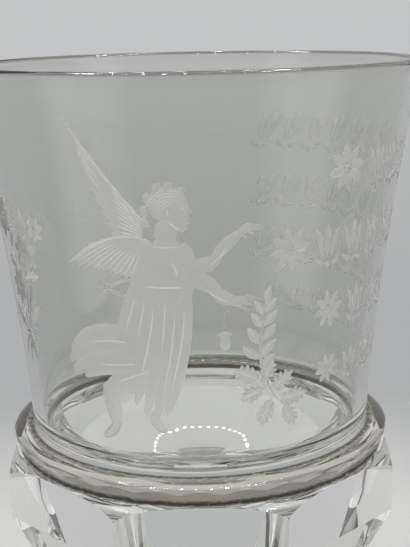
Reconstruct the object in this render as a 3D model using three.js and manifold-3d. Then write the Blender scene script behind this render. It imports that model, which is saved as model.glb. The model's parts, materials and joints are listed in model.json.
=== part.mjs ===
// A footed beaker of clear cut glass, about 138 mm tall, in the manner of central European glass of the 1840s.
// It is made hot from five gathers: a flared bowl, a facet-cut ring laid round the bowl's lower wall, a solid
// panel-cut bulb, a short panel-cut stem and a lobed foot. Each gather is one solid here, and the gathers meet
// face to face at their weld planes. Millimetres, +Z up, the foot stands on z = 0, and one panel faces -Y.

import * as THREE from "three";
import { mergeVertices } from "three/addons/utils/BufferGeometryUtils.js";
import Module from "manifold-3d";

const wasm = await Module();
wasm.setup();

// Cutting pattern
const panelCount = 8;
const roundSteps = 96;
const weldGap = 0.3;

// Foot
const footRadius = 35;
const lobeValleyDepth = 1.8;
const footEdgeHeight = 4.6;
const footHeight = 13;
const footChamfer = 0.6;
const footDomePower = 1.6;
const undersideRadius = 24;
const undersideDepth = 1.5;

// Stem
const stemHeight = 15;
const stemBottomFlat = 13;
const stemWaistFlat = 9.5;
const stemTopFlat = 12;
const stemWaistPower = 1.2;

// Bulb: each flat is given as the distance from the axis to the middle of a panel
const bulbHeight = 36.7;
const lowerRowFlat = 23.5;
const lowerRowHeight = 6.5;
const middleRowFlat = 32.2;
const middleRowHeight = 17.2;
const bellyOverhang = 1.8;
const bellyBottomHeight = 25.6;
const shoulderDrop = 3.6;
const ridgeTrim = 0.2;

// Collar ring
const collarWidth = 3.6;
const collarHeight = 4.2;
const collarLand = 1;
const collarTopRounding = 3;
const collarBeltBottom = 2;
const collarBeltTop = 2.5;
const collarFacets = 30;
const facetDepth = 0.3;
const facetMeetingHeight = 2.2;
const upperFacetSlope = 4;
const lowerFacetSlope = 24;

// Bowl
const bowlHeight = 73.3;
const rimRadius = 42;
const bowlBaseRadius = 33.1;
const flarePower = 1.4;
const flareStartHeight = 6;
const wallThickness = 2;
const baseRounding = 1;
const floorThickness = 2.1;
const floorRadius = 22.5;
const floorCornerHeight = 9;
const floorDish = 0.6;

// Heights of the weld planes, from the foot up
const stemBase = footHeight;
const bulbBase = stemBase + stemHeight;
const bowlBase = bulbBase + bulbHeight;

// The collar ring stands round the bowl, on the edge of the bulb's top face, and the bulb swells out below it
const collarBore = bowlBaseRadius + weldGap;
const collarRadius = collarBore + collarWidth;
const neckRadius = collarBore + collarLand;
const bellyFlat = neckRadius + bellyOverhang;

// The lip is a full round on the wall, and the wall is rimRadius wide where the round starts
const lipRadius = wallThickness / 2;
const lipHeight = bowlHeight - lipRadius;

const halfPanel = Math.PI / panelCount;
const frontAngle = -Math.PI / 2;

// One closed three.js geometry as a solid.
function solidOf(geometry) {
  const bare = geometry.index ? geometry.toNonIndexed() : geometry.clone();
  bare.deleteAttribute("normal");
  bare.deleteAttribute("uv");
  const merged = mergeVertices(bare, 1e-4);
  return new wasm.Manifold(
    new wasm.Mesh({
      numProp: 3,
      vertProperties: merged.attributes.position.array,
      triVerts: new Uint32Array(merged.index.array),
    }),
  );
}

// A solid as a named mesh at its weld height.
function pieceOf(name, solid, base, material) {
  const { vertProperties, triVerts } = solid.getMesh();
  const geometry = new THREE.BufferGeometry();
  geometry.setAttribute("position", new THREE.BufferAttribute(vertProperties, 3));
  geometry.setIndex(new THREE.BufferAttribute(triVerts, 1));
  geometry.computeVertexNormals();
  const mesh = new THREE.Mesh(geometry, material);
  mesh.name = name;
  mesh.position.z = base;
  return mesh;
}

// A profile of [radius, height] points turned round the axis, with a step on each panel's middle and ridges.
function turned(profile) {
  const points = profile.map(([radius, height]) => new THREE.Vector2(radius, height));
  const geometry = new THREE.LatheGeometry(points, roundSteps);
  geometry.rotateX(Math.PI / 2);
  return solidOf(geometry);
}

// A profile cut with flats: the radii are to the middle of each flat, and turn shifts the flats round the axis.
function cutFlats(profile, count, turn = 0) {
  const halfStep = Math.PI / count;
  const ridges = profile.map(([flat, height]) => [flat / Math.cos(halfStep), height]);
  const points = ridges.map(([radius, height]) => new THREE.Vector2(radius, height));
  const geometry = new THREE.LatheGeometry(points, count);
  geometry.rotateX(Math.PI / 2);
  geometry.rotateZ(halfStep + turn);
  return solidOf(geometry);
}

// Points along an arc of an ellipse, both ends included, for use in a profile.
function roundedCorner(centre, radii, startAngle, endAngle, steps) {
  return Array.from({ length: steps + 1 }, (_, i) => {
    const angle = startAngle + ((endAngle - startAngle) * i) / steps;
    return [centre[0] + radii[0] * Math.cos(angle), centre[1] + radii[1] * Math.sin(angle)];
  });
}

// Foot: a thick plate with eight lobes, a panelled dome up to the stem and a ground hollow under it.
function makeFoot() {
  const valleyRadius = footRadius - lobeValleyDepth;
  const lobeCentre =
    (footRadius ** 2 - valleyRadius ** 2) / (2 * (footRadius - valleyRadius * Math.cos(halfPanel)));
  const lobeRadius = footRadius - lobeCentre;
  const lobeSpread = Math.atan2(
    valleyRadius * Math.sin(halfPanel),
    valleyRadius * Math.cos(halfPanel) - lobeCentre,
  );
  const outline = new THREE.Shape();
  for (let i = 0; i < panelCount; i += 1) {
    const facing = frontAngle + 2 * halfPanel * i;
    outline.absarc(
      lobeCentre * Math.cos(facing),
      lobeCentre * Math.sin(facing),
      lobeRadius,
      facing - lobeSpread,
      facing + lobeSpread,
      false,
    );
  }
  const plate = solidOf(
    new THREE.ExtrudeGeometry(outline, {
      depth: footHeight - 2 * footChamfer,
      curveSegments: 10,
      bevelEnabled: true,
      bevelThickness: footChamfer,
      bevelSize: footChamfer,
      bevelOffset: -footChamfer,
      bevelSegments: 2,
    }),
  ).translate(0, 0, footChamfer);

  const beyondEdge = footRadius + 2;
  const domeSteps = 8;
  const dome = Array.from({ length: domeSteps + 1 }, (_, i) => {
    const inward = i / domeSteps;
    const radius = footRadius + (stemBottomFlat - footRadius) * inward;
    const rise = (footHeight - footEdgeHeight) * inward ** footDomePower;
    return [radius, footEdgeHeight + rise];
  });
  const domed = cutFlats(
    [[0, -1], [beyondEdge, -1], [beyondEdge, footEdgeHeight], ...dome, [0, footHeight]],
    panelCount,
  );

  const sphereRadius = (undersideRadius ** 2 + undersideDepth ** 2) / (2 * undersideDepth);
  const spread = Math.asin(undersideRadius / sphereRadius);
  const hollowArc = roundedCorner(
    [0, undersideDepth - sphereRadius],
    [sphereRadius, sphereRadius],
    Math.PI / 2 - spread,
    Math.PI / 2,
    6,
  );
  const hollow = turned([[0, -1], [undersideRadius, -1], ...hollowArc]);
  return plate.intersect(domed).subtract(hollow);
}

// Stem: eight hollow-cut flats that draw in to a waist.
function makeStem() {
  const stemSteps = 12;
  const profile = Array.from({ length: stemSteps + 1 }, (_, i) => {
    const up = i / stemSteps;
    const straight = stemBottomFlat + (stemTopFlat - stemBottomFlat) * up;
    const waist = (stemBottomFlat + stemTopFlat) / 2 - stemWaistFlat;
    return [straight - waist * Math.sin(Math.PI * up) ** stemWaistPower, stemHeight * up];
  });
  return cutFlats([[0, 0], ...profile, [0, stemHeight]], panelCount);
}

// Bulb: rows of flats ground on a solid ball of glass. The round shoulder under the ring is left uncut, so the
// top row of panels ends in arches.
function makeBulb() {
  const rows = [
    [0, 0],
    [stemTopFlat, 0],
    [lowerRowFlat, lowerRowHeight],
    [middleRowFlat, middleRowHeight],
    [bellyFlat, bellyBottomHeight],
    [bellyFlat, bulbHeight],
    [0, bulbHeight],
  ];
  const ballRadius = bellyFlat / Math.cos(halfPanel) + ridgeTrim;
  const shoulder = roundedCorner(
    [neckRadius, bulbHeight - shoulderDrop],
    [ballRadius - neckRadius, shoulderDrop],
    0,
    Math.PI / 2,
    9,
  );
  const ball = turned([[0, 0], [ballRadius, 0], ...shoulder, [0, bulbHeight]]);
  return cutFlats(rows, panelCount).intersect(ball);
}

// The bowl's outer radius at a height above its base.
function bowlRadius(height) {
  const up = Math.max(0, (height - flareStartHeight) / (lipHeight - flareStartHeight));
  return bowlBaseRadius + (rimRadius - bowlBaseRadius) * up ** flarePower;
}

// Collar ring: rounded on top, slanted below, with two rows of small flats round its belt. The rows are set half a
// step apart, so that they meet in a zigzag.
function makeCollar() {
  const topEdge = roundedCorner(
    [collarRadius - collarTopRounding, collarBeltTop],
    [collarTopRounding, collarHeight - collarBeltTop],
    0,
    Math.PI / 2,
    6,
  );
  const ring = turned([
    [collarBore, 0],
    [neckRadius, 0],
    [collarRadius, collarBeltBottom],
    ...topEdge,
    [collarBore, collarHeight],
    [collarBore, 0],
  ]);

  const facetFlat = collarRadius - facetDepth;
  const halfFacet = Math.PI / collarFacets;
  const above = collarHeight - facetMeetingHeight;
  const lowerSpread = Math.tan((lowerFacetSlope * Math.PI) / 180);
  const upperSpread = Math.tan((upperFacetSlope * Math.PI) / 180);
  const lowerFlats = cutFlats(
    [
      [0, 0],
      [facetFlat - lowerSpread * facetMeetingHeight, 0],
      [facetFlat + lowerSpread * above, collarHeight],
      [0, collarHeight],
    ],
    collarFacets,
  );
  const upperFlats = cutFlats(
    [
      [0, 0],
      [facetFlat + upperSpread * facetMeetingHeight, 0],
      [facetFlat - upperSpread * above, collarHeight],
      [0, collarHeight],
    ],
    collarFacets,
    halfFacet,
  );
  return ring.intersect(lowerFlats).intersect(upperFlats);
}

// Bowl: a flared wall with a fire-rounded lip and a dished floor that turns up into the wall.
function makeBowl() {
  const wallSteps = 10;
  const base = roundedCorner(
    [bowlBaseRadius - baseRounding, baseRounding],
    [baseRounding, baseRounding],
    -Math.PI / 2,
    0,
    3,
  );
  const outerWall = Array.from({ length: wallSteps }, (_, i) => {
    const height = flareStartHeight + ((lipHeight - flareStartHeight) * i) / wallSteps;
    return [bowlRadius(height), height];
  });
  const lip = roundedCorner(
    [bowlRadius(lipHeight) - lipRadius, lipHeight],
    [lipRadius, lipRadius],
    0,
    Math.PI,
    6,
  );
  const cornerTop = floorThickness + floorDish + floorCornerHeight;
  const innerWall = Array.from({ length: wallSteps }, (_, i) => {
    const height = lipHeight - ((lipHeight - cornerTop) * (i + 1)) / wallSteps;
    return [bowlRadius(height) - wallThickness, height];
  });
  const cornerWidth = bowlRadius(cornerTop) - wallThickness - floorRadius;
  const corner = roundedCorner(
    [floorRadius, cornerTop],
    [cornerWidth, floorCornerHeight],
    0,
    -Math.PI / 2,
    7,
  ).slice(1);
  const floorSteps = 3;
  const floor = Array.from({ length: floorSteps }, (_, i) => {
    const out = 1 - (i + 1) / floorSteps;
    return [floorRadius * out, floorThickness + floorDish * out ** 2];
  });
  return turned([[0, 0], ...base, ...outerWall, ...lip, ...innerWall, ...corner, ...floor]);
}

const clearGlass = () =>
  new THREE.MeshStandardMaterial({
    color: 0xdfe5e2,
    roughness: 0.04,
    metalness: 0,
    transparent: true,
    opacity: 0.35,
  });

const beaker = new THREE.Group();
beaker.add(pieceOf("foot", makeFoot(), 0, clearGlass()));
beaker.add(pieceOf("stem", makeStem(), stemBase, clearGlass()));
beaker.add(pieceOf("bulb", makeBulb(), bulbBase, clearGlass()));
beaker.add(pieceOf("collar_ring", makeCollar(), bowlBase, clearGlass()));
beaker.add(pieceOf("bowl", makeBowl(), bowlBase, clearGlass()));

export default beaker;
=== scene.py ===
import json
import math

import bmesh
import bpy
from mathutils import Matrix, Vector

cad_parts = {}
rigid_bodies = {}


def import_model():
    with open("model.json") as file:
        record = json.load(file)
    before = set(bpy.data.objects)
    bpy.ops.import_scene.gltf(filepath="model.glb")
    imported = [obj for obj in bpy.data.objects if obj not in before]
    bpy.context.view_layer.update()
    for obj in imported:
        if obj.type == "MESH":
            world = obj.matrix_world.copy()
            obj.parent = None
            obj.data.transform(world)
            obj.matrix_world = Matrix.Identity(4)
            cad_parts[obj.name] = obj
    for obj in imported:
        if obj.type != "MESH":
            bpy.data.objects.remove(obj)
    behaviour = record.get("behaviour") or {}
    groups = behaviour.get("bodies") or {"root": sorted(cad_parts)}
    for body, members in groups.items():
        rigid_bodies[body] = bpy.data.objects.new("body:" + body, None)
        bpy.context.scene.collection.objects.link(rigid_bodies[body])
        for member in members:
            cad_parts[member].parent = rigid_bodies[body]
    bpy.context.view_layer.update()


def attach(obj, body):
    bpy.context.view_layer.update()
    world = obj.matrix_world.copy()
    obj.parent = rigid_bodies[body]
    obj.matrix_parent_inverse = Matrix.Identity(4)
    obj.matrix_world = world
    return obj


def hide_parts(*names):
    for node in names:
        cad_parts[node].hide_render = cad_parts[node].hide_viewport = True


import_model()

# Camera. A long lens stands just above the height of the rim, close in front of the glass, and looks down a
# little, so that the picture takes in the bowl, the collar ring and the top of the bulb.
MM = 0.001
LENS = 72.79
SENSOR = 36
CAMERA_PLACE = (1.6, -209.8, 146.8)
CAMERA_DIP = 13.38
CAMERA_YAW = 0.02
CAMERA_ROLL = -1.15
NEAREST_SEEN = 0.01

scene = bpy.context.scene
scene.view_settings.view_transform = "Standard"
camera_data = bpy.data.cameras.new("camera")
camera_data.lens = LENS
camera_data.sensor_width = SENSOR
camera_data.clip_start = NEAREST_SEEN
camera = bpy.data.objects.new("camera", camera_data)
scene.collection.objects.link(camera)
camera.matrix_world = (
    Matrix.Translation(Vector(CAMERA_PLACE) * MM)
    @ Matrix.Rotation(math.radians(CAMERA_YAW), 4, "Z")
    @ Matrix.Rotation(math.radians(90 - CAMERA_DIP), 4, "X")
    @ Matrix.Rotation(math.radians(CAMERA_ROLL), 4, "Z")
)
scene.camera = camera

# Studio. A sheet of pale matt card lies under the glass and runs far back. Its tones are painted light: a
# pool of light round the glass, darker further out and a little paler again towards its edge. A hair's
# breadth of air is left over it, so that the foot's glass lets it be seen. A tone is its distance from the
# glass in metres and its colour.
CARD_RADIUS = 4
CARD_STEPS = 96
CARD_GAP = 0.1 * MM
CARD_ROUGHNESS = 0.9
TONE_SPREAD = 0.5
CARD_PAINTED_LIGHT_TONES = [
    (0.000, "E2E3E2"),
    (0.110, "D8D8D6"),
    (0.150, "C8C9C8"),
    (0.180, "BBBCBC"),
    (0.210, "AFB0B1"),
    (0.310, "ADAEB0"),
    (0.480, "B0B1B2"),
    (0.730, "B4B5B6"),
    (4.000, "C4C5C6"),
]


def linear(hex_colour):
    """An sRGB hex colour as linear RGBA."""
    channels = [int(hex_colour[i : i + 2], 16) / 255 for i in (0, 2, 4)]
    return [c / 12.92 if c <= 0.04045 else ((c + 0.055) / 1.055) ** 2.4 for c in channels] + [1]


def add_node(tree, kind, links=(), **settings):
    """Adds a node. A setting that names an input is set there, and links gives (input, output) pairs."""
    node = tree.nodes.new(kind)
    for name, value in settings.items():
        if hasattr(node, name):
            setattr(node, name, value)
        else:
            node.inputs[name.replace("_", " ")].default_value = value
    for socket, output in links:
        tree.links.new(output, node.inputs[socket])
    return node


def set_tones(ramp_node, tones):
    """Gives a colour ramp its stops from (place, hex colour) pairs."""
    stops = ramp_node.color_ramp.elements
    for index, (place, hex_colour) in enumerate(tones):
        stop = stops[index] if index < 2 else stops.new(place)
        stop.position = place
        stop.color = linear(hex_colour)


card_material = bpy.data.materials.new("pale_matt_card")
card_material.use_nodes = True
tree = card_material.node_tree
card_shader = tree.nodes["Principled BSDF"]
card_shader.inputs["Roughness"].default_value = CARD_ROUGHNESS
card_shader.inputs["Specular IOR Level"].default_value = 0
place = add_node(tree, "ShaderNodeTexCoord")
distance = add_node(tree, "ShaderNodeVectorMath", [(0, place.outputs["Object"])], operation="LENGTH")
share = add_node(tree, "ShaderNodeMath", [(0, distance.outputs["Value"])], operation="DIVIDE")
share.inputs[1].default_value = CARD_RADIUS
spread = add_node(tree, "ShaderNodeMath", [(0, share.outputs[0])], operation="POWER")
spread.inputs[1].default_value = TONE_SPREAD
# The card's tone ramp is painted light: palest round the glass, falling off further out.
tone = add_node(tree, "ShaderNodeValToRGB", [("Fac", spread.outputs[0])])
set_tones(tone, [((d / CARD_RADIUS) ** TONE_SPREAD, colour) for d, colour in CARD_PAINTED_LIGHT_TONES])
tree.links.new(tone.outputs["Color"], card_shader.inputs["Base Color"])

bm = bmesh.new()
bmesh.ops.create_circle(bm, cap_ends=True, segments=CARD_STEPS, radius=CARD_RADIUS)
bmesh.ops.translate(bm, verts=bm.verts, vec=(0, 0, -CARD_GAP))
card_mesh = bpy.data.meshes.new("card")
bm.to_mesh(card_mesh)
bm.free()
card = bpy.data.objects.new("card", card_mesh)
card_mesh.materials.append(card_material)
scene.collection.objects.link(card)

# Room. Matt things are lit from all round by an even white light. The glass shows what stands round it: pale
# walls that are dimmer at both sides near the horizon, and the dim warm upper part of the room. A tone is its
# height, from straight down at 0 to straight up at 1, and its colour.
ROOM_TONES = [
    (0.000, "C4C5C6"),
    (0.500, "C4C5C6"),
    (0.700, "BCBDBC"),
    (0.800, "B4B4B0"),
    (0.850, "98928A"),
    (0.905, "767067"),
    (0.950, "858078"),
    (1.000, "9A968F"),
]
SIDE_DIMNESS = 0.65
SIDE_START = 0.5
SIDE_FULL = 0.9
WHITE = (1, 1, 1, 1)
EVEN_LIGHT = 1.0
GLASS_BOUNCES = 32
MIRROR_BOUNCES = 16

world = bpy.data.worlds.new("studio")
scene.world = world
world.use_nodes = True
tree = world.node_tree
tree.nodes.clear()
direction = add_node(tree, "ShaderNodeTexCoord")
axes = add_node(tree, "ShaderNodeSeparateXYZ", [("Vector", direction.outputs["Generated"])])
height = add_node(tree, "ShaderNodeMapRange", [("Value", axes.outputs["Z"])], From_Min=-1, From_Max=1)
tone = add_node(tree, "ShaderNodeValToRGB", [("Fac", height.outputs["Result"])])
set_tones(tone, ROOM_TONES)
path = add_node(tree, "ShaderNodeLightPath")
seen = add_node(
    tree,
    "ShaderNodeMath",
    [(0, path.outputs["Is Camera Ray"]), (1, path.outputs["Is Glossy Ray"])],
    operation="ADD",
)
seen = add_node(
    tree,
    "ShaderNodeMath",
    [(0, seen.outputs[0]), (1, path.outputs["Is Transmission Ray"])],
    operation="ADD",
    use_clamp=True,
)
even = add_node(tree, "ShaderNodeBackground", Color=WHITE, Strength=EVEN_LIGHT)
sideways = add_node(tree, "ShaderNodeMath", [(0, axes.outputs["X"])], operation="ABSOLUTE")
upward = add_node(tree, "ShaderNodeMath", [(0, axes.outputs["Z"])], operation="ABSOLUTE")
low_at_side = add_node(
    tree, "ShaderNodeMath", [(0, sideways.outputs[0]), (1, upward.outputs[0])], operation="SUBTRACT"
)
side_tone = add_node(
    tree,
    "ShaderNodeMapRange",
    [("Value", low_at_side.outputs[0])],
    From_Min=SIDE_START,
    From_Max=SIDE_FULL,
    To_Min=1,
    To_Max=SIDE_DIMNESS,
)
shown = add_node(
    tree,
    "ShaderNodeBackground",
    [("Color", tone.outputs["Color"]), ("Strength", side_tone.outputs["Result"])],
)
mixed = add_node(
    tree,
    "ShaderNodeMixShader",
    [(0, seen.outputs[0]), (1, even.outputs[0]), (2, shown.outputs[0])],
)
add_node(tree, "ShaderNodeOutputWorld", [("Surface", mixed.outputs[0])])

# Light passes through many walls of glass before it leaves.
scene.cycles.max_bounces = GLASS_BOUNCES
scene.cycles.transmission_bounces = GLASS_BOUNCES
scene.cycles.glossy_bounces = MIRROR_BOUNCES
scene.cycles.transparent_max_bounces = GLASS_BOUNCES

# Lamps. Two rings of small lamps hang over the glass and high behind it, and a soft upright panel stands at
# each side in front. Only the glass shows them: the rings as rows of bright dots, the panels as pale streaks.
# A ring is its centre, radius, tilt in degrees, number of lamps, half length and width of a lamp, and glow.
LAMP_RINGS = [
    ((-12, 0, 382), 137, 0, 24, (22, 3.5), 80),
    ((-24, 3150, 1145), 150, 22, 40, (6, 6), 12),
]
PANEL_WIDTH = 130
PANEL_HEIGHT = 260
PANEL_PLACES = [(-190, -110), (190, -110)]
PANEL_TONES = [(0, "C4C5C6"), (0.35, "FFFFFF"), (0.65, "FFFFFF"), (1, "C4C5C6")]


def glowing(name, strength=1):
    """A material that only gives off light."""
    material = bpy.data.materials.new(name)
    material.use_nodes = True
    tree = material.node_tree
    tree.nodes.clear()
    light = add_node(tree, "ShaderNodeEmission", Strength=strength)
    add_node(tree, "ShaderNodeOutputMaterial", [("Surface", light.outputs[0])])
    return material


def add_lamp(name, bm, material):
    """A lamp that is seen only in the glass."""
    bmesh.ops.scale(bm, vec=(MM, MM, MM), verts=bm.verts)
    mesh = bpy.data.meshes.new(name)
    bm.to_mesh(mesh)
    bm.free()
    mesh.materials.append(material)
    lamp = bpy.data.objects.new(name, mesh)
    scene.collection.objects.link(lamp)
    lamp.visible_camera = False
    lamp.visible_diffuse = False
    lamp.visible_shadow = False
    return lamp


for centre, radius, tilt, count, (long, wide), strength in LAMP_RINGS:
    ring_glow = glowing("ring_lamp_glow", strength)
    bm = bmesh.new()
    hung = Matrix.Translation(centre) @ Matrix.Rotation(math.radians(-tilt), 4, "X")
    for index in range(count):
        angle = math.tau * index / count
        spot = hung @ Matrix.Rotation(angle, 4, "Z") @ Matrix.Translation((radius, 0, 0))
        bmesh.ops.create_icosphere(
            bm, subdivisions=1, radius=1, matrix=spot @ Matrix.Diagonal((long, wide, wide, 1))
        )
    lamp_ring = add_lamp("lamp_ring", bm, ring_glow)
    # The level ring overhead is only mirrored, and the tilted one behind also shows through the glass.
    lamp_ring.visible_transmission = tilt > 0

panel_glow = glowing("soft_panel_glow")
tree = panel_glow.node_tree
place = add_node(tree, "ShaderNodeTexCoord")
across = add_node(tree, "ShaderNodeSeparateXYZ", [("Vector", place.outputs["Generated"])])
tone = add_node(tree, "ShaderNodeValToRGB", [("Fac", across.outputs["X"])])
set_tones(tone, PANEL_TONES)
tree.links.new(tone.outputs["Color"], tree.nodes["Emission"].inputs["Color"])
for right, depth in PANEL_PLACES:
    bm = bmesh.new()
    bmesh.ops.create_grid(bm, x_segments=1, y_segments=1, size=0.5)
    sized = Matrix.Diagonal((PANEL_WIDTH, PANEL_HEIGHT, 1, 1))
    stood_up = Matrix.Rotation(math.pi / 2, 4, "X")
    turned_in = Matrix.Rotation(math.atan2(depth, right) + math.pi / 2, 4, "Z")
    placed = Matrix.Translation((right, depth, PANEL_HEIGHT / 2)) @ (turned_in @ stood_up) @ sized
    bmesh.ops.transform(bm, matrix=placed, verts=bm.verts)
    add_lamp("soft_panel", bm, panel_glow)

# Bright sheet. A flat glowing ring lies round the glass, just over the card, to lighten the bulb, which is
# too dark without it. Only what mirrors it shows it, such as the bulb's flats.
SHEET_RADII = (75, 175)
SHEET_HEIGHT = 1
SHEET_GLOW = 1.9

sheet_glow = glowing("bright_sheet_glow", SHEET_GLOW)
bm = bmesh.new()
sheet_edge = [bm.verts.new((radius, 0, SHEET_HEIGHT)) for radius in SHEET_RADII]
bmesh.ops.spin(
    bm,
    geom=[*sheet_edge, bm.edges.new(sheet_edge)],
    axis=(0, 0, 1),
    cent=(0, 0, 0),
    angle=math.tau,
    steps=CARD_STEPS,
    use_merge=True,
)
bright_sheet = add_lamp("bright_sheet", bm, sheet_glow)
bright_sheet.visible_transmission = False

# Foot. A thick plate of clear glass with eight lobes at its edge and a panelled dome that sweeps up to the
# stem. It was pressed flat from a hot gather, then ground and polished. Its underside is hollowed, so that it
# stands on a ring.
PANELS = 8
HALF_PANEL = math.pi / PANELS
FRONT = -math.pi / 2
FOOT_RADIUS = 35
LOBE_VALLEY_DEPTH = 1.8
FOOT_EDGE_HEIGHT = 4.6
FOOT_HEIGHT = 13
FOOT_CHAMFER = 0.6
CHAMFER_STEPS = 3
FOOT_DOME_POWER = 1.6
FOOT_DOME_STEPS = 28
LOBE_STEPS = 24
UNDERSIDE_RADIUS = 24
UNDERSIDE_DEPTH = 1.5
UNDERSIDE_STEPS = 128
HOLLOW_STEPS = 16
STEM_BOTTOM_FLAT = 13
OVERRUN = 1
SHARP_EDGE = math.radians(20)
WELD = 1e-4
GLASS_IOR = 1.5


def clear_glass(name, hex_colour, spacing, height, upright=1):
    """Clear glass. Gentle swells on its surface, a spacing apart and drawn out upright, bend the view."""
    material = bpy.data.materials.new(name)
    material.use_nodes = True
    tree = material.node_tree
    shader = tree.nodes["Principled BSDF"]
    shader.inputs["Base Color"].default_value = linear(hex_colour)
    shader.inputs["Transmission Weight"].default_value = 1
    shader.inputs["Roughness"].default_value = 0
    shader.inputs["IOR"].default_value = GLASS_IOR
    place = add_node(tree, "ShaderNodeTexCoord")
    drawn = add_node(
        tree, "ShaderNodeMapping", [("Vector", place.outputs["Object"])], Scale=(1, 1, 1 / upright)
    )
    swell = add_node(
        tree, "ShaderNodeTexNoise", [("Vector", drawn.outputs[0])], Scale=1 / (spacing * MM), Detail=1
    )
    bump = add_node(
        tree, "ShaderNodeBump", [("Height", swell.outputs[0])], Distance=height * MM, Strength=1
    )
    tree.links.new(bump.outputs["Normal"], shader.inputs["Normal"])
    return material


# Colourless potash-lime glass, cut and then polished on the wheel: clear through, with a slight swell left by
# the polishing.
polished_glass = clear_glass("polished_potash_glass", "FAFBFA", spacing=9, height=0.012)

# Where two gathers were welded hot there is no surface left between them, so light goes straight through.
fused_joint = bpy.data.materials.new("fused_glass_joint")
fused_joint.use_nodes = True
fused_joint.node_tree.nodes["Principled BSDF"].inputs["Alpha"].default_value = 0


def turned(profile, steps, first_angle=0):
    """A closed solid turned round the upright axis from (radius, height) points."""
    bm = bmesh.new()
    verts = [bm.verts.new((radius, 0, height)) for radius, height in profile]
    edges = [bm.edges.new(pair) for pair in zip(verts, verts[1:])]
    bmesh.ops.rotate(bm, verts=verts, matrix=Matrix.Rotation(first_angle, 3, "Z"))
    bmesh.ops.spin(
        bm,
        geom=verts + edges,
        axis=(0, 0, 1),
        cent=(0, 0, 0),
        angle=math.tau,
        steps=steps,
        use_merge=True,
        use_duplicate=False,
    )
    bmesh.ops.remove_doubles(bm, verts=bm.verts, dist=WELD)
    bmesh.ops.recalc_face_normals(bm, faces=bm.faces)
    return bm


def arc(centre, radii, start, end, steps):
    """Points along an arc of an ellipse, both ends included."""
    angles = [math.radians(start + (end - start) * i / steps) for i in range(steps + 1)]
    return [(centre[0] + radii[0] * math.cos(a), centre[1] + radii[1] * math.sin(a)) for a in angles]


def new_object(name, bm, glass=polished_glass):
    """A glass object with this mesh, in millimetres until it is finished."""
    mesh = bpy.data.meshes.new(name)
    bm.to_mesh(mesh)
    bm.free()
    mesh.materials.append(glass)
    mesh.materials.append(fused_joint)
    made = bpy.data.objects.new(name, mesh)
    scene.collection.objects.link(made)
    return made


def combine(piece, tool, operation):
    """Joins, keeps or takes away the tool's shape, and removes the tool."""
    modifier = piece.modifiers.new("cut", "BOOLEAN")
    modifier.operation = operation
    modifier.solver = "MANIFOLD"
    modifier.material_mode = "TRANSFER"
    modifier.object = tool
    with bpy.context.temp_override(object=piece):
        bpy.ops.object.modifier_apply(modifier=modifier.name)
    bpy.data.objects.remove(tool)


def finish_glass(piece, node, is_joint, sharp_edge=SHARP_EDGE):
    """Marks welded faces and crisp ridges, brings the piece to metres and gives it the CAD node's place."""
    bm = bmesh.new()
    bm.from_mesh(piece.data)
    for face in bm.faces:
        face.smooth = True
        if face.material_index == 0 and is_joint(face, face.calc_center_median()):
            face.material_index = 1
    for edge in bm.edges:
        finishes = {face.material_index for face in edge.link_faces}
        edge.smooth = len(finishes) == 1 and edge.calc_face_angle(0) < sharp_edge
    bmesh.ops.scale(bm, vec=(MM, MM, MM), verts=bm.verts)
    bm.to_mesh(piece.data)
    bm.free()
    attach(piece, "root")
    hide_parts(node)


valley_radius = FOOT_RADIUS - LOBE_VALLEY_DEPTH
valley_out = valley_radius * math.cos(HALF_PANEL)
valley_aside = valley_radius * math.sin(HALF_PANEL)
lobe_centre = (FOOT_RADIUS**2 - valley_radius**2) / (2 * (FOOT_RADIUS - valley_out))
lobe_radius = FOOT_RADIUS - lobe_centre
lobe_spread = math.atan2(valley_aside, valley_out - lobe_centre)
bm = bmesh.new()
for lobe in range(PANELS):
    facing = Matrix.Rotation(FRONT + 2 * HALF_PANEL * lobe, 4, "Z")
    start = facing @ Vector(
        (lobe_centre + lobe_radius * math.cos(lobe_spread), -lobe_radius * math.sin(lobe_spread), 0)
    )
    bmesh.ops.spin(
        bm,
        geom=[bm.verts.new(start)],
        axis=(0, 0, 1),
        cent=facing @ Vector((lobe_centre, 0, 0)),
        angle=2 * lobe_spread,
        steps=LOBE_STEPS,
    )
bmesh.ops.remove_doubles(bm, verts=bm.verts, dist=WELD)
outline = bmesh.ops.contextual_create(bm, geom=bm.edges[:])["faces"]
raised = bmesh.ops.extrude_face_region(bm, geom=outline)["geom"]
top = [v for v in raised if isinstance(v, bmesh.types.BMVert)]
bmesh.ops.translate(bm, verts=top, vec=(0, 0, FOOT_HEIGHT))
bmesh.ops.recalc_face_normals(bm, faces=bm.faces)
flat_edges = [e for e in bm.edges if abs(e.verts[0].co.z) < WELD and abs(e.verts[1].co.z) < WELD]
bmesh.ops.bevel(
    bm,
    geom=flat_edges,
    offset=FOOT_CHAMFER,
    affect="EDGES",
    segments=CHAMFER_STEPS,
    profile=0.5,
    material=-1,
)
foot = new_object("foot_glass", bm)

dome = []
for step in range(FOOT_DOME_STEPS + 1):
    inward = step / FOOT_DOME_STEPS
    radius = FOOT_RADIUS + (STEM_BOTTOM_FLAT - FOOT_RADIUS) * inward
    rise = (FOOT_HEIGHT - FOOT_EDGE_HEIGHT) * inward**FOOT_DOME_POWER
    dome.append((radius, FOOT_EDGE_HEIGHT + rise))
beyond = FOOT_RADIUS + 2 * OVERRUN
dome_profile = [(0, -OVERRUN), (beyond, -OVERRUN), (beyond, FOOT_EDGE_HEIGHT), *dome, (0, FOOT_HEIGHT)]
ridge_scale = 1 / math.cos(HALF_PANEL)
ridge_profile = [(radius * ridge_scale, height) for radius, height in dome_profile]
combine(foot, new_object("dome", turned(ridge_profile, PANELS, HALF_PANEL)), "INTERSECT")
sphere_radius = (UNDERSIDE_RADIUS**2 + UNDERSIDE_DEPTH**2) / (2 * UNDERSIDE_DEPTH)
sphere_centre = (0, UNDERSIDE_DEPTH - sphere_radius)
hollow_start = 90 - math.degrees(math.asin(UNDERSIDE_RADIUS / sphere_radius))
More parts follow.
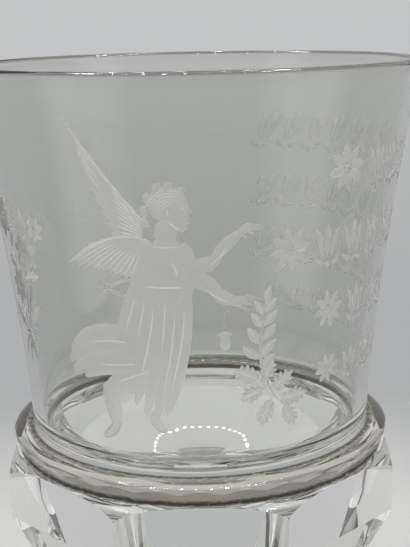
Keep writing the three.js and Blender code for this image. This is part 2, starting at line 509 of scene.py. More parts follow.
hollow = arc(sphere_centre, (sphere_radius, sphere_radius), hollow_start, 90, HOLLOW_STEPS)
hollow_profile = [(0, -OVERRUN), (UNDERSIDE_RADIUS, -OVERRUN), *hollow]
combine(foot, new_object("hollow", turned(hollow_profile, UNDERSIDE_STEPS)), "DIFFERENCE")
finish_glass(foot, "foot", lambda face, centre: centre.z > FOOT_HEIGHT - WELD)

# Stem. A short waisted stem of clear glass, welded hot to the foot below and to the bulb above. Its eight
# flats are ground a little hollow and then polished.
STEM_HEIGHT = 15
STEM_WAIST_FLAT = 9.5
STEM_TOP_FLAT = 12
STEM_WAIST_POWER = 1.2
STEM_STEPS = 32

stem_profile = []
for step in range(STEM_STEPS + 1):
    up = step / STEM_STEPS
    straight = STEM_BOTTOM_FLAT + (STEM_TOP_FLAT - STEM_BOTTOM_FLAT) * up
    waist = (STEM_BOTTOM_FLAT + STEM_TOP_FLAT) / 2 - STEM_WAIST_FLAT
    flat = straight - waist * math.sin(math.pi * up) ** STEM_WAIST_POWER
    stem_profile.append((flat * ridge_scale, FOOT_HEIGHT + STEM_HEIGHT * up))
stem_top = FOOT_HEIGHT + STEM_HEIGHT
bm = turned([(0, FOOT_HEIGHT)] + stem_profile + [(0, stem_top)], PANELS, HALF_PANEL)
stem = new_object("stem_glass", bm)


def at_stem_end(face, centre):
    return centre.z < FOOT_HEIGHT + WELD or centre.z > stem_top - WELD


finish_glass(stem, "stem", at_stem_end)

# Bulb. A solid ball of glass under the bowl, ground with rows of eight flats that meet in crisp ridges, and
# then polished. The round shoulder under the ring is left uncut, so the top row of flats ends in arches.
BULB_HEIGHT = 36.7
BULB_ROWS = [(12, 0), (23.5, 6.5), (32.2, 17.2), (36.2, 25.6), (36.2, BULB_HEIGHT)]
NECK_RADIUS = 34.4
SHOULDER_DROP = 3.6
RIDGE_TRIM = 0.2
SHOULDER_STEPS = 24
ROUND_STEPS = 320
BULB_DUST_AND_SHADE = (0.22, 0.08)
# Dust and painted shade: a dark brown, patchy, matt cover laid where the glass is made to look dark.
DUST_AND_SHADE_TONE = "463F36"
DUST_AND_SHADE_PATCH = 0.9 * MM
DUST_AND_SHADE_START = 0.12
DUST_AND_SHADE_FULL = 0.42
DUST_AND_SHADE_COVER = 0.9
DUST_AND_SHADE_ROUGHNESS = 0.9
NUMBER_SOCKETS = (2, 3, 0)
COLOUR_SOCKETS = (6, 7, 2)


def grind_flats(piece, base, flats, count, first_angle, finish):
    """Grinds flats all round a piece. Each row is (distance from the axis, height over the base)."""
    ridge = 1 / math.cos(math.pi / count)
    edge = [(flat * ridge, base + height) for flat, height in flats]
    profile = [(0, edge[0][1]), *edge, (0, edge[-1][1])]
    combine(piece, new_object("flats", turned(profile, count, first_angle), finish), "INTERSECT")


def paint_dust_and_shade(material, measure, thin, thick):
    """Paints patchy brown dust and shade on a glass, from none at one height or radius to thickest at
    another.
    """
    tree = material.node_tree
    shader = tree.nodes["Principled BSDF"]
    place = add_node(tree, "ShaderNodeTexCoord")
    if measure == "radius":
        level = add_node(tree, "ShaderNodeVectorMath", [(0, place.outputs["Object"])], operation="MULTIPLY")
        level.inputs[1].default_value = (1, 1, 0)
        out = add_node(tree, "ShaderNodeVectorMath", [(0, level.outputs[0])], operation="LENGTH")
        where = out.outputs["Value"]
    else:
        axes = add_node(tree, "ShaderNodeSeparateXYZ", [("Vector", place.outputs["Object"])])
        where = axes.outputs[measure]
    near = add_node(
        tree, "ShaderNodeMapRange", [("Value", where)], From_Min=thin * MM, From_Max=thick * MM
    )
    patches = add_node(
        tree, "ShaderNodeTexNoise", [("Vector", place.outputs["Object"])], Scale=1 / DUST_AND_SHADE_PATCH, Detail=4
    )
    patchy = add_node(
        tree, "ShaderNodeMath", [(0, near.outputs["Result"]), (1, patches.outputs[0])], operation="MULTIPLY"
    )
    dust_and_shade = add_node(
        tree,
        "ShaderNodeMapRange",
        [("Value", patchy.outputs[0])],
        From_Min=DUST_AND_SHADE_START,
        From_Max=DUST_AND_SHADE_FULL,
        To_Max=DUST_AND_SHADE_COVER,
    )
    # A Mix node's sockets have the same names for colours and for numbers, so they are told by their places.
    for name, full, kind, (clean, covered, result) in (
        ("Base Color", linear(DUST_AND_SHADE_TONE), "RGBA", COLOUR_SOCKETS),
        ("Transmission Weight", 0, "FLOAT", NUMBER_SOCKETS),
        ("Roughness", DUST_AND_SHADE_ROUGHNESS, "FLOAT", NUMBER_SOCKETS),
    ):
        socket = shader.inputs[name]
        mix = add_node(tree, "ShaderNodeMix", data_type=kind)
        tree.links.new(dust_and_shade.outputs["Result"], mix.inputs["Factor"])
        if socket.is_linked:
            tree.links.new(socket.links[0].from_socket, mix.inputs[clean])
        else:
            mix.inputs[clean].default_value = socket.default_value
        mix.inputs[covered].default_value = full
        tree.links.new(mix.outputs[result], socket)


belly = BULB_ROWS[-1][0]
ball_radius = belly / math.cos(HALF_PANEL) + RIDGE_TRIM
bulb_top = stem_top + BULB_HEIGHT
shoulder_reach = (ball_radius - NECK_RADIUS, SHOULDER_DROP)
shoulder = arc((NECK_RADIUS, bulb_top - SHOULDER_DROP), shoulder_reach, 0, 90, SHOULDER_STEPS)
bm = turned([(0, stem_top), (ball_radius, stem_top), *shoulder, (0, bulb_top)], ROUND_STEPS)

# The same polished glass as the foot, a trace warmer. A line of brown dust and painted shade darkens the last
# fifth of a millimetre of the shoulder, the crevice close under the ring, in patches about 0.9 mm wide.
bulb_glass = clear_glass("polished_bulb_glass", "FAFBF8", spacing=9, height=0.012)
paint_dust_and_shade(bulb_glass, "Z", bulb_top - BULB_DUST_AND_SHADE[0], bulb_top - BULB_DUST_AND_SHADE[1])
bulb = new_object("bulb_glass", bm, bulb_glass)
grind_flats(bulb, stem_top, BULB_ROWS, PANELS, HALF_PANEL, bulb_glass)


def at_bulb_end(face, centre):
    return centre.z < stem_top + WELD or centre.z > bulb_top - WELD


finish_glass(bulb, "bulb", at_bulb_end)

# Collar ring. A thread of glass laid hot round the bowl's lower wall, rounded on top and slanted below. Two
# rows of small flats are ground round its belt, half a step apart, so that they meet in a zigzag.
BOWL_BASE_RADIUS = 33.1
COLLAR_RADIUS = 37
COLLAR_HEIGHT = 4.2
COLLAR_UNDERSIDE = (36, 0.4)
COLLAR_BELT_BOTTOM = 1.6
COLLAR_BELT_TOP = 2.5
COLLAR_TOP_ROUNDING = 3
COLLAR_TOP_STEPS = 28
COLLAR_FACETS = 30
FACET_CUT = 0.3
FACET_MEETING_HEIGHT = 2.7
UPPER_FACET_SLOPE = 4
LOWER_FACET_SLOPE = 26
RING_SHARP_EDGE = math.radians(5.5)
# Painted shade on the ring, from none to thickest: by the crevice and on the lower flats as heights, in the
# groove as radii.
CREVICE_DUST_AND_SHADE = (1.0, 0.3)
GROOVE_SHADE = (35.0, 33.4)
STONE_SHADE = (1.5, 0.4)
STONE_ROUGHNESS = 0.18
STONE_CLEARNESS = 0.75

top_edge = arc(
    (COLLAR_RADIUS - COLLAR_TOP_ROUNDING, bulb_top + COLLAR_BELT_TOP),
    (COLLAR_TOP_ROUNDING, COLLAR_HEIGHT - COLLAR_BELT_TOP),
    0,
    90,
    COLLAR_TOP_STEPS,
)
collar_top = bulb_top + COLLAR_HEIGHT
ring_profile = [
    (BOWL_BASE_RADIUS, bulb_top),
    (NECK_RADIUS, bulb_top),
    (COLLAR_UNDERSIDE[0], bulb_top + COLLAR_UNDERSIDE[1]),
    (COLLAR_RADIUS, bulb_top + COLLAR_BELT_BOTTOM),
    *top_edge,
    (BOWL_BASE_RADIUS, collar_top),
    (BOWL_BASE_RADIUS, bulb_top),
]

# The ring's glass is tinted a touch brown, as painted shade. Brown dust and painted shade lie in the crevice
# between ring and bulb, and painted shade in the groove between ring and bowl, thickest right in the corner.
ring_glass = clear_glass("ring_glass_painted_shade", "D9D4C9", spacing=6, height=0.015)
paint_dust_and_shade(ring_glass, "Z", bulb_top + CREVICE_DUST_AND_SHADE[0], bulb_top + CREVICE_DUST_AND_SHADE[1])
paint_dust_and_shade(ring_glass, "radius", GROOVE_SHADE[0], GROOVE_SHADE[1])
collar_ring = new_object("collar_ring_glass", turned(ring_profile, ROUND_STEPS), ring_glass)

# The lower flats are left as the grindstone made them: nearly clear, with a brown tint and patches of painted
# shade.
stone_ground_shaded_glass = clear_glass("stone_ground_glass_painted_shade", "988E80", spacing=1.2, height=0.03)
stone_shader = stone_ground_shaded_glass.node_tree.nodes["Principled BSDF"]
stone_shader.inputs["Roughness"].default_value = STONE_ROUGHNESS
stone_shader.inputs["Transmission Weight"].default_value = STONE_CLEARNESS
paint_dust_and_shade(stone_ground_shaded_glass, "Z", bulb_top + STONE_SHADE[0], bulb_top + STONE_SHADE[1])

facet_flat = COLLAR_RADIUS - FACET_CUT
half_facet = math.pi / COLLAR_FACETS
for slope, first_angle, finish in (
    (-LOWER_FACET_SLOPE, FRONT + half_facet, stone_ground_shaded_glass),
    (UPPER_FACET_SLOPE, FRONT, ring_glass),
):
    spread = math.tan(math.radians(slope))
    low_flat = facet_flat + spread * FACET_MEETING_HEIGHT
    high_flat = facet_flat - spread * (COLLAR_HEIGHT - FACET_MEETING_HEIGHT)
    flats = [(low_flat, 0), (high_flat, COLLAR_HEIGHT)]
    grind_flats(collar_ring, bulb_top, flats, COLLAR_FACETS, first_angle, finish)


def on_bowl_or_bulb(face, centre):
    on_bulb = centre.z < bulb_top + WELD
    return on_bulb or math.hypot(centre.x, centre.y) < BOWL_BASE_RADIUS + WELD


finish_glass(collar_ring, "collar_ring", on_bowl_or_bulb, RING_SHARP_EDGE)

# Bowl. The drinking bowl, blown of clear glass: its wall flares to a lip rounded in the fire, and its thick
# floor is dished. It is welded hot to the top of the bulb, and its lowest part stands inside the ring.
FLARE_START = 6
FLARE_POWER = 1.4
RIM_RADIUS = 42
BEAD_RADIUS = 0.9
BOWL_HEIGHT = 73.3
LIP_HEIGHT = 72.3
WALL = 2
LIP_THINNING = 0.2
THINNING_POWER = 4
INNER_LIP_DROP = 0.6
FLOOR_THICKNESS = 2.1
FLOOR_RADIUS = 24
FLOOR_CORNER_HEIGHT = 5.5
FLOOR_DISH = 0.6
WALL_ROWS = 36
INNER_ROWS = 16
LIP_STEPS = 36
CORNER_STEPS = 20
FLOOR_STEPS = 6
WALL_TONE = "F0F1EE"
LIP_TONE = "A09C94"
LIP_SHADE_RISE = 0.35
LIP_SHADE_SOFTNESS = 0.1


def bowl_radius(height):
    """The outer radius at a height above the bowl's base."""
    up = max(0, (height - FLARE_START) / (LIP_HEIGHT - FLARE_START))
    return BOWL_BASE_RADIUS + (RIM_RADIUS - BOWL_BASE_RADIUS) * up**FLARE_POWER


outer_heights = [FLARE_START + (LIP_HEIGHT - FLARE_START) * i / WALL_ROWS for i in range(WALL_ROWS)]
outer_wall = [(bowl_radius(h), h) for h in [COLLAR_HEIGHT, *outer_heights]]
bead_height = BOWL_HEIGHT - BEAD_RADIUS
lip = arc((RIM_RADIUS - BEAD_RADIUS, bead_height), (BEAD_RADIUS, BEAD_RADIUS), 0, 180, LIP_STEPS)
corner_top = FLOOR_THICKNESS + FLOOR_DISH + FLOOR_CORNER_HEIGHT
inner_top = bead_height - INNER_LIP_DROP
inner_wall = []
for row in range(INNER_ROWS + 1):
    height = inner_top - (inner_top - corner_top) * row / INNER_ROWS
    thinned = LIP_THINNING * (height / BOWL_HEIGHT) ** THINNING_POWER
    inner_wall.append((bowl_radius(height) - WALL + thinned, height))
corner_width = bowl_radius(corner_top) - WALL - FLOOR_RADIUS
corner_reach = (corner_width, FLOOR_CORNER_HEIGHT)
corner = arc((FLOOR_RADIUS, corner_top), corner_reach, 0, -90, CORNER_STEPS)[1:]
floor = []
for step in range(1, FLOOR_STEPS + 1):
    out = 1 - step / FLOOR_STEPS
    floor.append((FLOOR_RADIUS * out, FLOOR_THICKNESS + FLOOR_DISH * out**2))
bowl_profile = [(0, 0), (BOWL_BASE_RADIUS, 0), *outer_wall, *lip, *inner_wall, *corner, *floor]
bm = turned(bowl_profile, ROUND_STEPS)
bmesh.ops.translate(bm, verts=bm.verts, vec=(0, 0, bulb_top))

# Colourless blown glass: the wall keeps a soft upright waviness from the glassmaker's turning and drawing.
# The top of the lip is tinted grey-brown, for the long way that a view runs inside the wall there.
lip_shade_height = bulb_top + bead_height + LIP_SHADE_RISE
blown_glass = clear_glass("blown_potash_glass", WALL_TONE, spacing=11, height=0.03, upright=5)
tree = blown_glass.node_tree
place = add_node(tree, "ShaderNodeTexCoord")
axes = add_node(tree, "ShaderNodeSeparateXYZ", [("Vector", place.outputs["Object"])])
in_lip = add_node(
    tree,
    "ShaderNodeMapRange",
    [("Value", axes.outputs["Z"])],
    From_Min=(lip_shade_height - LIP_SHADE_SOFTNESS) * MM,
    From_Max=(lip_shade_height + LIP_SHADE_SOFTNESS) * MM,
)
tone = add_node(tree, "ShaderNodeValToRGB", [("Fac", in_lip.outputs["Result"])])
set_tones(tone, [(0, WALL_TONE), (1, LIP_TONE)])
tree.links.new(tone.outputs["Color"], tree.nodes["Principled BSDF"].inputs["Base Color"])
bowl = new_object("bowl_glass", bm, blown_glass)

# Engraving. The whole picture is cut into the bowl's outside with small copper wheels fed with grit. Each
# touch of the wheel leaves a boat-shaped hollow with a matt floor, and a figure is built from many that
# overlap. The cuts are drawn flat, in mm to the right of the bowl's front line and mm above the table.
SIDES_OF_CUT = 8
CUT_STEP = 1.4
FEWEST_STEPS = 7
A_LITTLE_WAY = 0.01
SHALLOW = 0.2
MATT_GRAIN = 0.3
FINE_GRAIN = 0.25


def ground_glass(name, tones, transmission, roughness, grain, depth):
    """Glass ground by grit and left unpolished: pale, half clear, and grained by the wheel."""
    material = bpy.data.materials.new(name)
    material.use_nodes = True
    tree = material.node_tree
    shader = tree.nodes["Principled BSDF"]
    shader.inputs["Transmission Weight"].default_value = transmission
    shader.inputs["Roughness"].default_value = roughness
    shader.inputs["IOR"].default_value = GLASS_IOR
    place = add_node(tree, "ShaderNodeTexCoord")
    grit = add_node(
        tree, "ShaderNodeTexNoise", [("Vector", place.outputs["Object"])], Scale=1 / (grain * MM), Detail=2
    )
    tone = add_node(tree, "ShaderNodeValToRGB", [("Fac", grit.outputs[0])])
    set_tones(tone, tones)
    tree.links.new(tone.outputs["Color"], shader.inputs["Base Color"])
    bump = add_node(
        tree, "ShaderNodeBump", [("Height", grit.outputs[0])], Distance=depth * MM, Strength=1
    )
    tree.links.new(bump.outputs["Normal"], shader.inputs["Normal"])
    return material


# A broad cut has a smooth matt floor. A fine line is cut with the wheel's edge, lets less light through from
# behind and so looks brighter. The grain of both is drawn coarser than real grit leaves it, so that it shows.
matt_cut = ground_glass(
    "wheel_cut_matt_glass",
    [(0.3, "E2E3DF"), (0.7, "ECECE8")],
    transmission=0.8,
    roughness=0.5,
    grain=MATT_GRAIN,
    depth=0.01,
)
fine_line = ground_glass(
    "fine_line_ground_glass",
    [(0.3, "F0F0EC"), (0.7, "FAFAF6")],
    transmission=0.5,
    roughness=0.6,
    grain=FINE_GRAIN,
    depth=0.005,
)

cuts = bpy.data.collections.new("cuts")
scene.collection.children.link(cuts)


def on_curve(points, share):
    """The place a share of the way along a smooth curve that these points steer."""
    while len(points) > 1:
        points = [a.lerp(b, share) for a, b in zip(points, points[1:])]
    return points[0]


def on_bowl(right, height, outward=0):
    """A point of the flat drawing laid on the bowl's outside."""
    radius = bowl_radius(height - bulb_top)
    angle = FRONT + right / radius
    radius += outward
    return Vector((radius * math.cos(angle), radius * math.sin(angle), height))


def wheel_cut(width, points, depth=0.3, pointed=True, finish=matt_cut):
    """One touch of the wheel along a curve: widest and deepest in its middle, and run out at both ends."""
    curve = [Vector(point) for point in points]
    length = sum((b - a).length for a, b in zip(curve, curve[1:]))
    steps = max(FEWEST_STEPS, round(length / CUT_STEP))
    bm = bmesh.new()
    bmesh.ops.create_uvsphere(bm, u_segments=SIDES_OF_CUT, v_segments=steps, radius=1)
    for vert in bm.verts:
        across, outward, along = vert.co
        share = (along + 1) / 2
        centre = on_curve(curve, share)
        ahead = on_curve(curve, share + A_LITTLE_WAY) - on_curve(curve, share - A_LITTLE_WAY)
        side = Vector((-ahead.y, ahead.x)).normalized()
        taper = math.sqrt(max(0, 1 - along**2)) if pointed else 1
        flat = centre + side * across * taper * width / 2
        vert.co = on_bowl(flat.x, flat.y, outward * taper * depth)
    mesh = bpy.data.meshes.new("cut")
    bm.to_mesh(mesh)
    bm.free()
    mesh.materials.append(finish)
    cuts.objects.link(bpy.data.objects.new("cut", mesh))


def fine_lines(curves, width=0.42, depth=0.3):
    """Fine bright lines, cut a little deeper than the matt ground they run over."""
    for points in curves:
        wheel_cut(width, points, depth, finish=fine_line)


def sweep(count, first, last, width, depth, finish=matt_cut):
    """A fan of cuts whose curves pass evenly from the first to the last."""
    for index in range(count):
        share = index / (count - 1)
        points = [Vector(a).lerp(Vector(b), share) for a, b in zip(first, last)]
        wheel_cut(width, points, depth, finish=finish)


# The winged child in a long gown, who walks to the right, one hand raised and the other holding out an acorn.
GOWN = [
    (6.8, [(-4.9, 112.2), (-4.4, 106.0), (-5.2, 99.0)]),
    (4.6, [(-7.9, 111.6), (-8.8, 106.0), (-8.6, 100.0)]),
    (3.6, [(-1.9, 111.0), (-0.9, 106.0), (-2.4, 100.0)]),
    (3.0, [(-2.0, 107.0), (-1.4, 98.0), (-2.6, 89.5), (-5.4, 80.2)]),
    (3.0, [(-3.5, 107.0), (-3.4, 98.0), (-4.8, 89.0), (-7.2, 79.4)]),
    (3.0, [(-5.0, 107.0), (-5.2, 98.0), (-6.6, 89.5), (-9.0, 80.2)]),
    (3.0, [(-6.5, 107.0), (-7.2, 98.0), (-8.4, 90.0), (-10.8, 81.8)]),
    (3.0, [(-7.9, 106.6), (-9.2, 98.0), (-10.2, 91.0), (-12.2, 84.0)]),
    (2.8, [(-9.1, 106.0), (-10.8, 98.4), (-11.8, 93.0), (-13.8, 86.4)]),
    (2.4, [(-9.8, 105.0), (-11.8, 98.6), (-12.6, 94.0), (-14.8, 88.8)]),
    (2.8, [(-9.5, 94.4), (-15.0, 96.2), (-20.5, 94.8), (-23.4, 89.9)]),
    (3.0, [(-8.6, 92.0), (-14.5, 93.8), (-20.5, 92.4), (-24.0, 88.0)]),
    (3.0, [(-8.0, 89.6), (-14.0, 91.4), (-19.5, 90.4), (-23.2, 86.4)]),
    (2.8, [(-7.6, 87.6), (-13.5, 89.2), (-18.0, 88.6), (-20.6, 85.8)]),
]
NECK_AND_LEGS = [
    (3.8, [(-4.7, 114.8), (-4.7, 110.4)]),
    (4.6, [(-7.6, 86.0), (-12.0, 88.0), (-16.8, 82.4)]),
    (3.2, [(-16.4, 85.6), (-14.8, 81.4), (-14.4, 77.0)]),
    (1.9, [(-14.2, 79.2), (-14.6, 76.4), (-17.4, 75.0)]),
    (1.8, [(-7.6, 81.0), (-8.0, 78.4), (-5.4, 77.0)]),
]
ARMS = [
    (2.9, [(-2.4, 107.6), (1.8, 105.4), (4.6, 109.4)]),
    (2.3, [(2.0, 106.6), (4.8, 111.0), (8.4, 112.8)]),
    (1.6, [(6.8, 112.2), (8.4, 113.5), (10.0, 112.9)]),
    (3.1, [(-2.6, 105.6), (1.6, 104.8), (4.6, 101.4)]),
    (2.5, [(2.0, 103.4), (4.6, 100.6), (7.4, 100.4)]),
    (2.0, [(5.4, 100.2), (7.0, 100.8), (8.6, 100.4)]),
]
FINGERS = [
    (0.55, [(8.8, 113.4), (10.4, 113.5), (11.8, 112.6)]),
    (0.5, [(8.8, 112.9), (10.2, 112.9), (11.1, 112.1)]),
    (0.5, [(8.4, 112.4), (9.4, 112.2), (10.1, 111.4)]),
    (0.55, [(7.6, 112.0), (8.2, 111.6), (8.5, 110.9)]),
    (0.55, [(7.0, 101.1), (8.6, 101.6), (10.2, 101.2)]),
    (0.5, [(7.4, 100.6), (9.0, 101.0), (10.7, 100.6)]),
    (0.5, [(7.2, 100.0), (8.6, 100.1), (9.7, 99.6)]),
    (0.5, [(6.6, 99.5), (7.8, 99.3), (8.7, 98.8)]),
]
HEAD = [
    (6.0, [(-7.6, 117.2), (-1.0, 117.4)]),
    (3.8, [(-2.8, 119.6), (-2.6, 112.8)]),
]
FEATURES = [
    (0.8, [(-1.4, 117.0), (-0.2, 115.7)]),
    (0.6, [(-1.6, 114.9), (-0.6, 114.7)]),
    (0.6, [(-1.6, 114.2), (-0.7, 114.1)]),
    (1.2, [(-2.8, 113.2), (-1.0, 113.4)]),
]
CURLS = [
    (1.3, [(-7.0, 113.6), (-8.4, 114.0), (-7.9, 115.3)]),
    (1.3, [(-7.3, 115.2), (-8.8, 116.0), (-7.9, 117.2)]),
    (1.3, [(-7.0, 117.2), (-8.4, 118.4), (-7.0, 119.2)]),
    (1.3, [(-5.8, 118.8), (-6.5, 120.4), (-5.0, 120.5)]),
    (1.3, [(-4.4, 119.2), (-4.4, 121.0), (-3.0, 120.4)]),
    (1.1, [(-2.8, 119.2), (-2.2, 120.3), (-1.2, 119.2)]),
]
for part, depth, pointed in (
    (GOWN, SHALLOW, False),
    (NECK_AND_LEGS, SHALLOW, False),
    (ARMS, SHALLOW, True),
    (FINGERS, SHALLOW, True),
    (HEAD, 0.22, False),
    (FEATURES, SHALLOW, True),
    (CURLS, 0.26, True),
):
    for width, points in part:
        wheel_cut(width, points, depth, pointed)
fine_lines(
    [
        [(-2.0, 103.0), (-1.6, 97.0), (-3.0, 89.0), (-5.6, 81.0)],
        [(-3.4, 103.0), (-3.4, 96.0), (-4.6, 88.0), (-7.2, 80.5)],
        [(-5.0, 103.0), (-5.2, 96.0), (-6.4, 89.0)],
        [(-6.6, 103.0), (-7.2, 97.0), (-8.6, 91.0), (-10.6, 83.5)],
        [(-8.2, 103.0), (-9.2, 97.0), (-10.6, 92.0)],
        [(-9.6, 103.0), (-11.2, 98.0), (-12.8, 93.5)],
        [(-9.0, 89.5), (-14.0, 88.8), (-19.0, 88.4)],
        [(-10.0, 92.6), (-15.0, 94.2), (-21.0, 91.6)],
        [(-7.0, 88.5), (-11.0, 87.5), (-16.0, 84.5)],
        [(-7.2, 110.4), (-4.5, 109.6), (-1.2, 110.6)],
        [(-10.2, 103.6), (-5.5, 102.8), (-0.6, 103.4)],
        [(-4.4, 108.6), (-3.0, 106.4), (-2.8, 104.4)],
        [(1.2, 106.2), (4.2, 107.6), (5.8, 111.2)],
        [(0.8, 103.6), (3.4, 101.0), (6.2, 100.0)],
        [(-4.6, 116.6), (-3.9, 115.8), (-4.4, 114.9)],
        [(-2.2, 116.7), (-1.7, 116.3), (-1.3, 116.6)],
        [(-4.3, 114.8), (-3.6, 113.6), (-2.2, 112.9)],
    ]
)
sweep(
    6,
    [(-1.6, 118.4), (-3.2, 120.4), (-6.6, 120.0), (-8.0, 116.2)],
    [(-2.6, 117.2), (-3.6, 117.8), (-5.2, 117.2), (-6.0, 114.6)],
    width=0.36,
    depth=0.32,
    finish=fine_line,
)

# Two wings: long feathers in a fan, covering feathers with bright lines over their roots, and a bright
# leading edge.
sweep(
    11,
    [(-8.4, 113.8), (-12.4, 118.4), (-16.6, 123.0), (-21.3, 131.0)],
    [(-8.2, 111.2), (-10.2, 111.8), (-12.4, 112.0), (-14.0, 112.3)],
    width=1.7,
    depth=SHALLOW,
)
sweep(
    9,
    [(-7.6, 113.9), (-10.2, 116.6), (-12.8, 118.8), (-15.9, 121.6)],
    [(-8.4, 111.6), (-10.0, 112.2), (-11.6, 112.4), (-13.2, 112.7)],
    width=0.4,
    depth=0.28,
    finish=fine_line,
)
sweep(
    3,
    [(-14.8, 121.0), (-17.2, 124.0), (-19.2, 127.0), (-21.0, 130.4)],
    [(-14.6, 118.4), (-16.2, 120.4), (-17.6, 122.6), (-19.4, 126.4)],
    width=0.36,
    depth=0.28,
    finish=fine_line,
)
sweep(
    12,
    [(-8.4, 110.6), (-12.6, 112.2), (-17.6, 110.0), (-22.6, 106.2)],
    [(-8.2, 109.2), (-9.0, 107.4), (-9.8, 106.0), (-10.6, 104.4)],
    width=1.7,
    depth=SHALLOW,
)
sweep(
    11,
    [(-12.4, 111.4), (-15.6, 110.8), (-19.0, 109.0), (-22.4, 106.3)],
    [(-8.8, 109.6), (-9.4, 107.8), (-10.0, 106.4), (-10.8, 104.8)],
    width=0.4,
    depth=0.28,
    finish=fine_line,
)
fine_lines(
    [
        [(-7.4, 113.9), (-11.8, 118.4), (-16.0, 122.6), (-21.6, 131.2)],
        [(-6.8, 110.8), (-11.6, 113.2), (-17.0, 111.0), (-22.8, 106.3)],
    ],
    width=0.5,
)

# What goes with the child: a curl of loose cloth, and the acorn on its string.
CLOTH_AND_ACORN = [
    (0.8, [(-9.8, 103.6), (-12.6, 106.0), (-13.6, 101.0), (-17.2, 104.2)]),
    (0.7, [(-10.4, 102.4), (-12.8, 99.8), (-14.4, 104.2), (-16.4, 101.2)]),
    (0.35, [(5.8, 99.4), (4.0, 98.6), (4.6, 95.0)]),
    (1.3, [(3.3, 94.6), (4.7, 95.0), (6.0, 94.6)]),
]
for width, points in CLOTH_AND_ACORN:
    wheel_cut(width, points)
wheel_cut(1.9, [(4.7, 94.6), (4.7, 91.9)], pointed=False)

# Leaves and flowers. A lobe of an oak leaf is its place along the leaf and its reach to the side.
STALK_WIDTH = 1
OAK_LOBES = ((0.18, 0.65), (0.36, 0.95), (0.55, 1.0), (0.72, 0.7))
LOBE_START = 0.06
LOBE_LENGTH = 0.16


def leaf(root, tip, width):
    """A plain leaf: one full cut, with its midrib as a fine line. A leaf as slim as a stalk has no midrib."""
    wheel_cut(width, [root, tip], SHALLOW)
    if width > STALK_WIDTH:
        fine_lines([[root, tip]], width=0.3)


def oak_leaf(root, tip, width):
    """A lobed leaf: a slim body with four lobes a side that point forward, and a fine midrib."""
    root, tip = Vector(root), Vector(tip)
    along = tip - root
    side = Vector((-along.y, along.x)).normalized() * width / 2
    wheel_cut(width * 0.5, [root, tip], SHALLOW)
    for share, reach in OAK_LOBES:
        start = root + along * (share - LOBE_START)
        for way in (-1, 1):
            lobe_tip = start + along * LOBE_LENGTH + side * way * reach
            wheel_cut(width * 0.26, [start, lobe_tip], SHALLOW)
    fine_lines([[root, tip]], width=0.34)


def flower(centre, radius, petals, petal_width=0.42):
    """An open flower: a ring of slim petals round a small deep eye."""
    centre = Vector(centre)
    for petal in range(petals):
        angle = math.tau * (petal + 0.25) / petals
        reach = Vector((math.cos(angle), math.sin(angle)))
        petal_root = centre + reach * radius * 0.12
        wheel_cut(radius * petal_width, [petal_root, centre + reach * radius], depth=0.25)
    half_eye = Vector((radius * 0.18, 0))
    wheel_cut(radius * 0.36, [centre - half_eye, centre + half_eye], depth=0.4, pointed=False)


# The oak sprig that stands in front of the child, its stem bent at the foot under a bunch of lobed leaves.
wheel_cut(0.6, [(11.7, 101.4), (11.2, 96.0), (9.6, 90.0), (10.6, 85.0), (15.4, 80.4)], depth=0.25)
for root, tip, width in (
    ((11.6, 99.4), (12.4, 103.0), 1.4),
    ((11.4, 97.6), (9.6, 100.6), 1.4),
    ((11.2, 95.4), (9.0, 98.4), 1.6),
    ((10.8, 92.4), (8.4, 95.8), 1.8),
    ((10.5, 89.8), (7.6, 92.4), 1.8),
    ((11.5, 98.2), (13.6, 100.6), 1.4),
    ((11.3, 95.8), (13.8, 98.4), 1.6),
    ((11.0, 93.2), (13.6, 96.0), 1.7),
    ((10.7, 90.6), (13.6, 93.2), 1.7),
    ((10.5, 88.2), (13.4, 90.6), 1.6),
):
    leaf(root, tip, width)
for root, tip, width in (
    ((10.6, 86.0), (6.0, 88.4), 3.6),
    ((11.0, 85.2), (13.2, 89.8), 3.0),
    ((11.4, 84.4), (6.8, 82.6), 3.2),
    ((12.4, 83.6), (17.0, 87.0), 3.4),
    ((14.0, 81.8), (20.0, 82.4), 3.6),
    ((12.8, 82.6), (10.6, 77.2), 3.2),
    ((15.0, 81.0), (17.4, 76.4), 3.2),
):
    oak_leaf(root, tip, width)

# The bunch of field flowers at the left, tied with a band low down.
for centre, radius in (
    ((-43.0, 112.0), 4.2),
    ((-34.6, 106.6), 4.0),
    ((-38.6, 99.4), 3.8),
    ((-30.6, 111.4), 2.6),
):
    flower(centre, radius, petals=7, petal_width=0.55)
for root, tip, width in (
    ((-37.2, 90.4), (-42.0, 108.0), 0.5),
    ((-37.0, 90.4), (-35.0, 103.0), 0.5),
    ((-37.1, 90.4), (-38.2, 96.4), 0.5),
    ((-36.8, 90.4), (-31.0, 109.2), 0.5),
    ((-37.0, 91.0), (-43.6, 95.4), 2.0),
    ((-37.0, 91.4), (-31.6, 97.0), 2.0),
    ((-38.8, 103.0), (-42.6, 104.6), 1.8),
    ((-36.0, 101.6), (-30.6, 102.6), 1.8),
    ((-40.4, 106.4), (-38.0, 110.8), 1.8),
    ((-33.4, 110.4), (-35.2, 114.4), 1.7),
    ((-37.2, 90.8), (-40.6, 85.4), 1.0),
    ((-36.9, 90.8), (-34.4, 85.0), 1.0),
    ((-37.1, 90.8), (-37.4, 84.6), 0.9),
):
    leaf(root, tip, width)
wheel_cut(0.9, [(-39.0, 90.4), (-37.1, 91.2), (-35.2, 90.4)], depth=0.35)

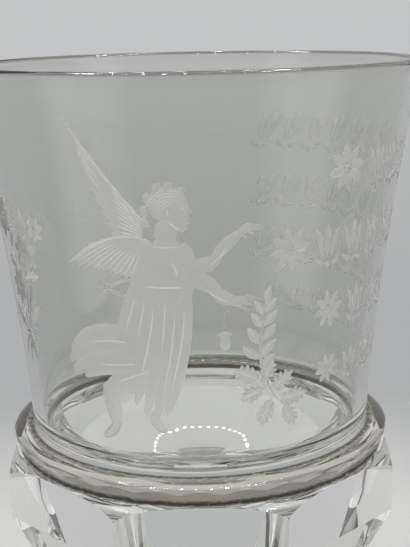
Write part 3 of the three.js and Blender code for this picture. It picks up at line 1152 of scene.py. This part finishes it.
# Four bands of palmettes run from the child round the right side to the back. Each band opens with a rosette.
# A palmette has a tall middle leaf, two side leaves that curl out, two low leaves and a bead under them. A
# band is its lowest and highest height and its start. A leaf's points go out in mm and up in band heights.
BANDS = ((117.0, 125.6, 27.5), (104.8, 112.4, 16.0), (93.2, 100.4, 24.5), (82.8, 88.6, 24.5))
BAND_END = math.radians(170)
PALMETTE_WIDTH = 6.4
SIDE_LEAF = (1.3, [(0.4, 0.18), (1.9, 0.36), (1.1, 0.78), (2.7, 0.86)])
LOW_LEAF = (1.0, [(0.5, 0.1), (1.6, -0.02), (2.8, 0.24)])
BAND_DEPTH = 0.16

for low, high, start in BANDS:
    tall = high - low
    middle = (low + high) / 2
    flower((start, middle), tall * 0.5, petals=8)
    end = BAND_END * bowl_radius(middle - bulb_top)
    start += tall * 0.5 + PALMETTE_WIDTH * 0.6
    for index in range(int((end - start) / PALMETTE_WIDTH)):
        right = start + PALMETTE_WIDTH * index
        wheel_cut(1.6, [(right, low + tall * 0.2), (right, high)], BAND_DEPTH)
        bead = [(right, low - tall * 0.06), (right, low + tall * 0.12)]
        wheel_cut(1.1, bead, BAND_DEPTH, pointed=False)
        for way in (-1, 1):
            for width, shape in (SIDE_LEAF, LOW_LEAF):
                points = [(right + out * way, low + tall * up) for out, up in shape]
                wheel_cut(width, points, BAND_DEPTH)

grinding = bowl.modifiers.new("engraving", "BOOLEAN")
grinding.operation = "DIFFERENCE"
grinding.solver = "MANIFOLD"
grinding.operand_type = "COLLECTION"
grinding.collection = cuts
grinding.material_mode = "TRANSFER"
with bpy.context.temp_override(object=bowl):
    bpy.ops.object.modifier_apply(modifier=grinding.name)
for cutter in list(cuts.objects):
    bpy.data.meshes.remove(cutter.data)
bpy.data.collections.remove(cuts)


def in_ring_or_on_bulb(face, centre):
    on_bulb = centre.z < bulb_top + WELD
    outside = face.normal.dot(Vector((centre.x, centre.y, 0))) > 0
    return on_bulb or (outside and centre.z < bulb_top + COLLAR_HEIGHT)


finish_glass(bowl, "bowl", in_ring_or_on_bulb)
